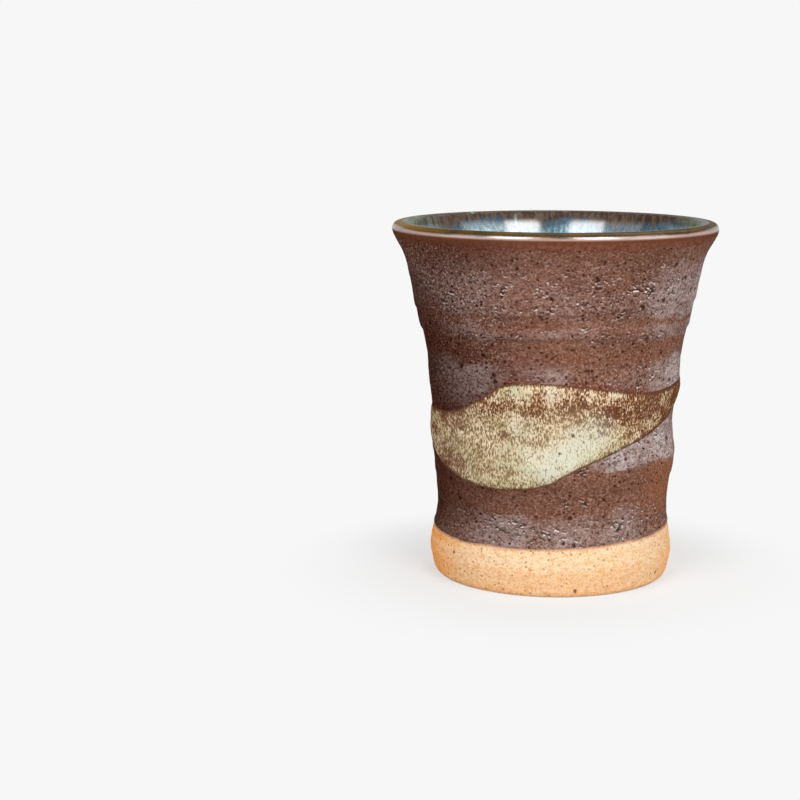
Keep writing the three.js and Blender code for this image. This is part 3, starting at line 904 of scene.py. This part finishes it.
def inside_finish(name):
    """The whole run of colour, by height, as one finish."""
    f = Finish(name)
    streak = f.cloud(1.1, 6.0, 3.0, 0.65)
    fleck = f.cloud(0.6, 1.4, 2.0, 0.6, (2.0, 0.0, 3.0))
    slow = f.cloud(12.0, 30.0, 2.0, 0.5)
    level = f.plus(
        f.height(), f.lift(streak, 0.3, 0.7, -0.7, 0.7), f.lift(fleck, 0.3, 0.7, -0.6, 0.6),
        f.lift(slow, 0.35, 0.65, -0.8, 0.8),
    )
    colour = f.mix(f.lift(level, 70.0, 81.0), (0.72, 0.64, 0.50, 1), (0.60, 0.59, 0.40, 1))
    blue = f.mix(f.lift(streak, 0.36, 0.64), (0.050, 0.130, 0.190, 1), (0.31, 0.50, 0.53, 1))
    blue = f.mix(f.lift(level, 84.4, 86.4, 0, 0.8), blue, (0.035, 0.050, 0.085, 1))
    blue = f.mix(f.lift(fleck, 0.58, 0.74, 0, 0.7), blue, (0.020, 0.030, 0.055, 1))
    colour = f.mix(f.lift(level, 80.0, 84.0), colour, blue)
    green = f.mix(f.lift(streak, 0.40, 0.60), (0.085, 0.065, 0.030, 1), (0.16, 0.215, 0.175, 1))
    brown = f.mix(f.lift(streak, 0.40, 0.62), (0.046, 0.025, 0.015, 1), (0.105, 0.072, 0.055, 1))
    back, left = f.lift(f.along("Y"), 6 * MM, 24 * MM), f.lift(f.along("X"), 0.0, -12 * MM)
    colour = f.mix(f.lift(level, 86.7, 88.2), colour, f.mix(back, green, brown))
    run = f.lift(f.cloud(2.4, 40.0, 1.0, 0.5, (6.0, 1.0, 0.0)), 0.64, 0.74, 0, 0.6)
    colour = f.mix(f.times(run, left, f.lift(level, 83.0, 86.0)), colour, (0.30, 0.40, 0.33, 1))
    colour = f.mix(f.specks(6.0, 0.12, 0.8), colour, (0.16, 0.09, 0.04, 1))
    f.surface(colour, 0.4, 0.1, f.relief(f.cloud(3.0, 3.0, 2.0, 0.5), 0.09))
    f.clear_coat(f.lift(f.height(), 86.4, 88.2, 1.0, 0.0), 0.13, 1.9)
    return f


inside_finish("blue_rim_glaze").wear("rim_glaze_band")
inside_finish("cream_liner_glaze").wear("liner_glaze_coat")

# %% [markdown]
# ## Onto the frame
#
# The cup has no joint, so every piece rides on the one root body. Each stands for the solid that has its name.

# %% Ride and replace
STANDS_FOR = {
    "clay_body_foot": ("clay_body", "bare_clay"),
    "brown_glaze_coat": ("brown_glaze", "brown_glaze"),
    "ash_glaze_sweep": ("ash_glaze", "ash_glaze"),
    "lip_glaze_band": ("lip_glaze", "lip_glaze"),
    "rim_glaze_band": ("rim_glaze", "rim_glaze"),
    "liner_glaze_coat": ("liner_glaze", "liner_glaze"),
}
for name, (node, slot) in STANDS_FOR.items():
    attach(PIECES[name], "root")
    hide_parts(node)
print("pieces on the frame:", len(STANDS_FOR))

# %% [markdown]
# ## A pale studio
#
# The floor is a plain round sheet that turns up all round its edge, so every view has the same ground. Far from the
# cup it shows an even pale tone to the camera, and close to it the tone gives way to an ordinary matte surface, which
# keeps the soft shadow. The air around gives a weak light too, more of it from the front right.

# %% Floor
PALE = 0.93
PAPER, PAPER_SEEN = 0.68, 0.76
SHADOW_FROM, SHADOW_TO = 0.028, 0.075  # metres from the cup's middle
SHEET = [(0, 0), (500, 0), (1500, 0), (1700, 40), (1850, 150), (1950, 400), (2000, 800)]  # radius, height
sheet_mesh = spun(SHEET, SHEET_STEPS)
floor = in_scene("studio_sheet", sheet_mesh)
sheet_mesh.free()

paper = Finish("pale_paper")
paper.shader.inputs["Roughness"].default_value = 0.9
paper.shader.inputs["Specular IOR Level"].default_value = 0.0
glow = paper.add("ShaderNodeEmission", {"Color": (PALE, PALE, PALE, 1), "Strength": 1.0})
ray = paper.nodes.new("ShaderNodeLightPath").outputs
seen = paper.most(ray["Is Camera Ray"], ray["Is Glossy Ray"], ray["Is Transmission Ray"])
paper.put(paper.shader.inputs["Base Color"], paper.mix(seen, (PAPER,) * 3 + (1,), (PAPER_SEEN,) * 3 + (1,)))
away = paper.add("ShaderNodeVectorMath", {0: paper.place}, operation="LENGTH").outputs["Value"]
far = paper.times(seen, paper.lift(away, SHADOW_FROM, SHADOW_TO, 0.55, 1.0))
blend = paper.add("ShaderNodeMixShader", {0: far, 1: paper.shader.outputs[0], 2: glow.outputs[0]})
paper.put(paper.nodes["Material Output"].inputs["Surface"], blend.outputs[0])
floor.data.materials.append(paper.material)
print("floor faces", len(floor.data.polygons))

# %% Air
BRIGHT_SIDE = Vector((0.70, -0.50, 0.51))
AIR_STRENGTH = 0.50
world = bpy.data.worlds.new("studio_air")
scene.world = world
world.use_nodes = True
air = world.node_tree
toward = air.nodes.new("ShaderNodeVectorMath")
toward.operation = "DOT_PRODUCT"
toward.inputs[1].default_value = BRIGHT_SIDE
air.links.new(air.nodes.new("ShaderNodeTexCoord").outputs["Generated"], toward.inputs[0])
shade = air.nodes.new("ShaderNodeMapRange")
for key, value in (("From Min", -1.0), ("From Max", 1.0), ("To Min", 0.0), ("To Max", AIR_STRENGTH)):
    shade.inputs[key].default_value = value
air.links.new(toward.outputs["Value"], shade.inputs["Value"])
air.links.new(shade.outputs[0], air.nodes["Background"].inputs["Strength"])
print("air nodes", len(air.nodes))

# %% [markdown]
# ## Light
#
# Two softboxes stand in front, one to each side, a little above the cup: their two reflections lie on the glossy
# inside of the far rim. A weaker box at each side, the stronger one at the right, draws the soft edge light there. A
# box behind the cup keeps its back from going dark.

# %% Softboxes
AIM = Vector((0, 0, 0.05))
SOFTBOXES = [  # name, azimuth, elevation, distance, width, height, power
    ("front_left_box", -32, 35, 1.0, 0.46, 0.58, 6.1),
    ("front_right_box", 32, 35, 1.0, 0.46, 0.58, 7.0),
    ("right_strip", 72, 28, 1.0, 0.6, 0.7, 2.5),
    ("left_strip", -70, 28, 1.0, 0.5, 0.7, 1.05),
    ("back_box", 165, 50, 1.1, 0.7, 0.7, 3.0),
]


def softbox(name, azimuth, elevation, distance, width, height, power):
    """An area lamp that looks at the cup. Azimuth counts from the front towards +X, in degrees."""
    lamp = bpy.data.lights.new(name, "AREA")
    lamp.shape, lamp.size, lamp.size_y, lamp.energy = "RECTANGLE", width, height, power
    holder = bpy.data.objects.new(name, lamp)
    turn, tilt = math.radians(azimuth), math.radians(elevation)
    way = Vector((math.sin(turn) * math.cos(tilt), -math.cos(turn) * math.cos(tilt), math.sin(tilt)))
    holder.location = AIM + way * distance
    holder.rotation_euler = way.to_track_quat("Z", "Y").to_euler()
    scene.collection.objects.link(holder)


for box in SOFTBOXES:
    softbox(*box)
scene.view_settings.view_transform = "Standard"
print("lamps", len(bpy.data.lights))

# %% [markdown]
# ## Camera
#
# The camera stands about half a metre in front of the cup and a little above its lip, and looks down by ten degrees.
# It is turned slightly to the left, so the cup sits right of the picture's middle.

# %% Camera
STANDS_AT = (0, -0.460, 0.1235)
LOOKS_DOWN, LOOKS_LEFT = 9.83, 4.86
LENS, SENSOR = 81.6, 36
camera_data = bpy.data.cameras.new("camera")
camera_data.lens, camera_data.sensor_width = LENS, SENSOR
camera = bpy.data.objects.new("camera", camera_data)
camera.location = STANDS_AT
camera.rotation_euler = (math.radians(90 - LOOKS_DOWN), 0, math.radians(LOOKS_LEFT))
scene.collection.objects.link(camera)
scene.camera = camera
print("camera at", tuple(round(c, 4) for c in camera.location))
